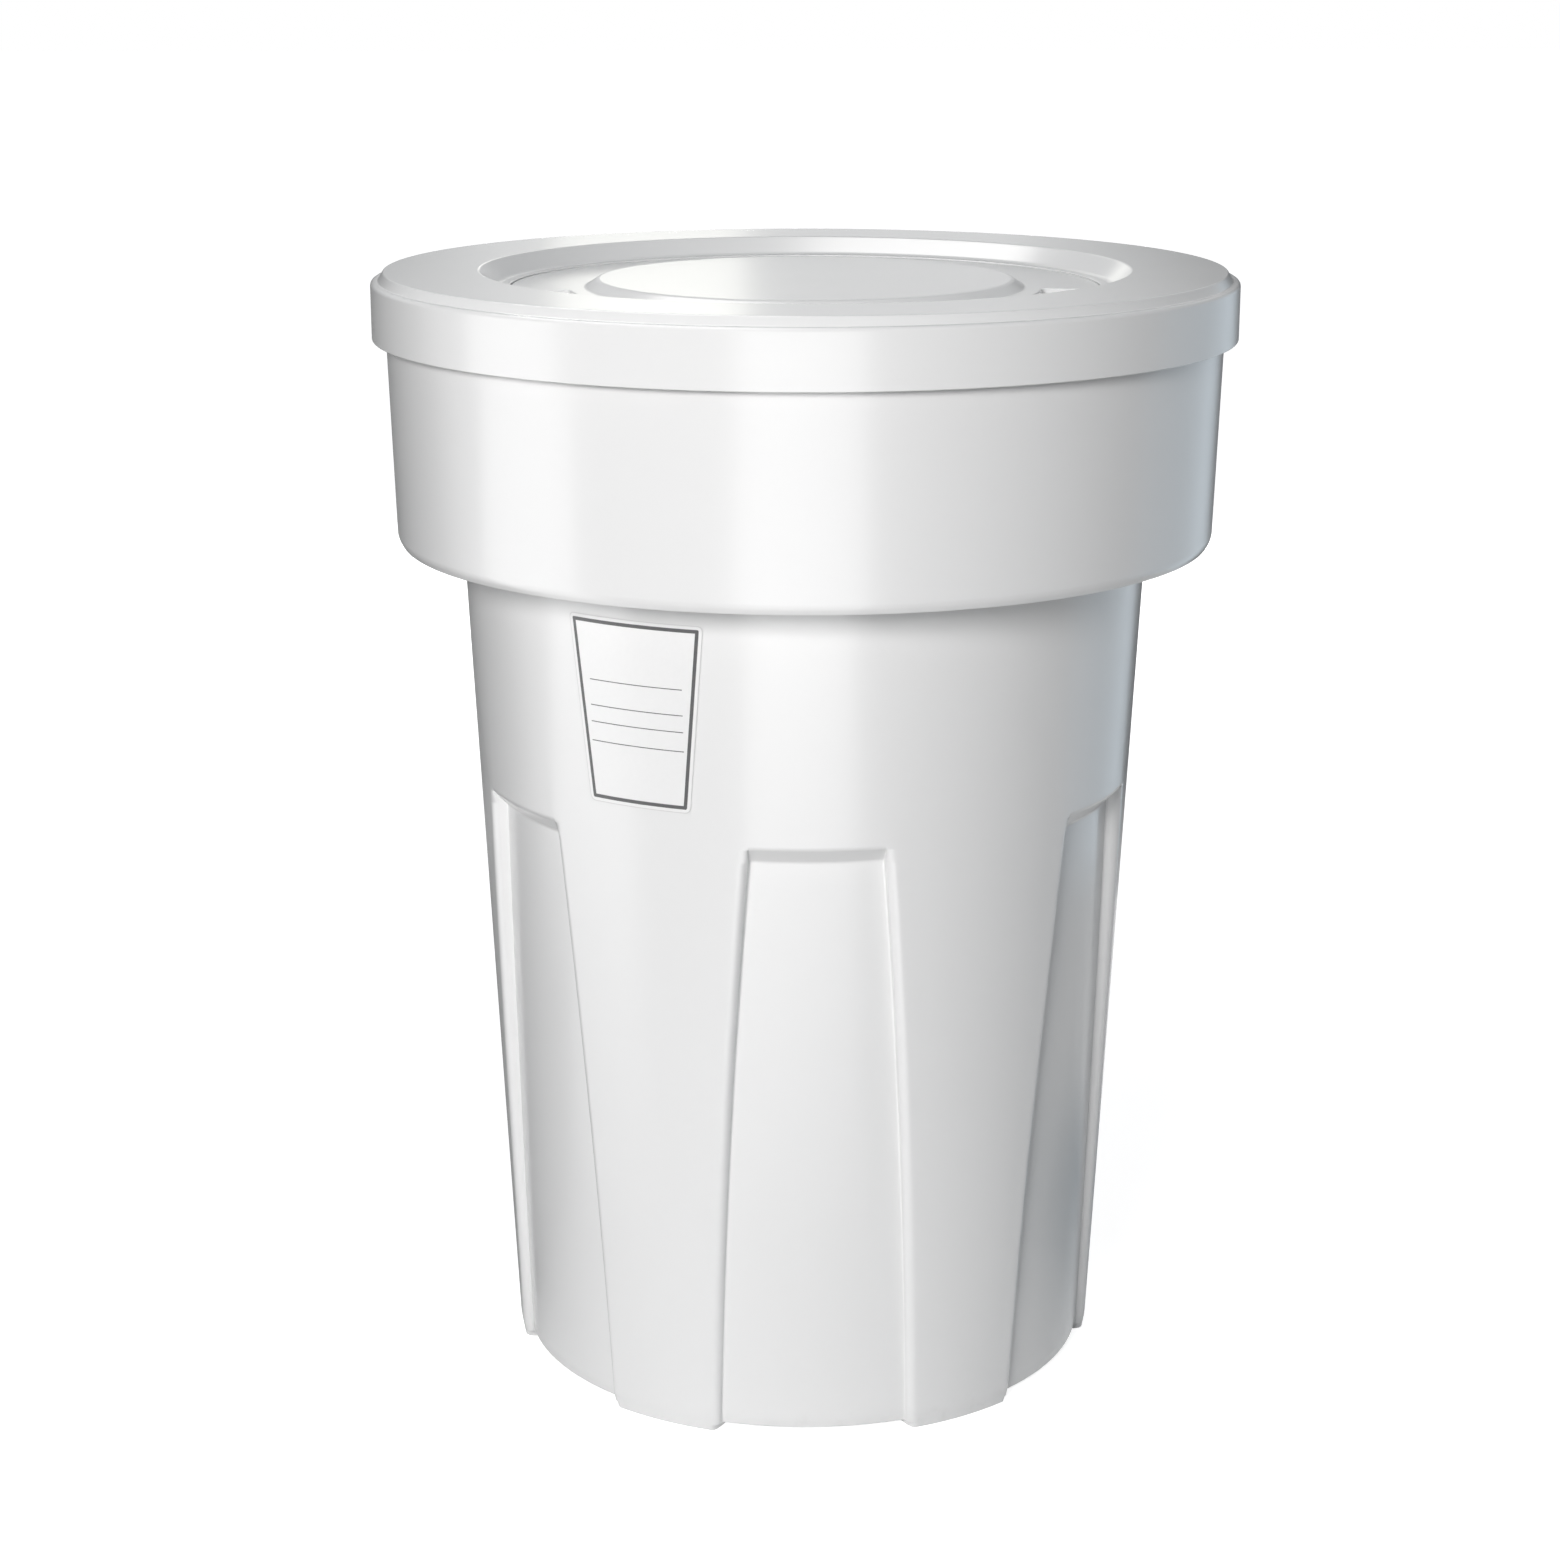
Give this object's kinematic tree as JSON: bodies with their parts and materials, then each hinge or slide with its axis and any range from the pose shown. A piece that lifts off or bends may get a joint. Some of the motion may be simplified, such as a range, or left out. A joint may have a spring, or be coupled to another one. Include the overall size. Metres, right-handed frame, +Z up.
{
  "type": "plastic open head drum",
  "caption": "White moulded plastic drum with a wide collar, fluted tapering side, lift-off lid ring and a round lift-out centre panel.",
  "frame": {"origin": "centre of the base on the floor", "axes": "+Z up the drum's axis, one flute faces -Y, the label is left of it towards -X"},
  "size_m": [0.69, 0.69, 0.9034],
  "materials": {
    "drum_plastic": "semi-gloss moulded polyethylene, white",
    "lid_plastic": "semi-gloss moulded polyethylene, white",
    "seal_rubber": "soft dark grey sponge rubber",
    "label_film": "satin adhesive film with a printed dark grey border, no text"
  },
  "bodies": {
    "drum": {"drum_body": "drum_plastic", "body_label": "label_film"},
    "lid": {"lid_ring": "lid_plastic", "lid_seal": "seal_rubber"},
    "panel": {"centre_panel": "lid_plastic"}
  },
  "joints": [
    {"name": "lid_lift", "type": "slide", "parent": "drum", "child": "lid", "axis": [0, 0, 1], "range_m": [0, 0.15]},
    {"name": "panel_lift", "type": "slide", "parent": "lid", "child": "panel", "axis": [0, 0, 1], "range_m": [0, 0.08]}
  ]
}
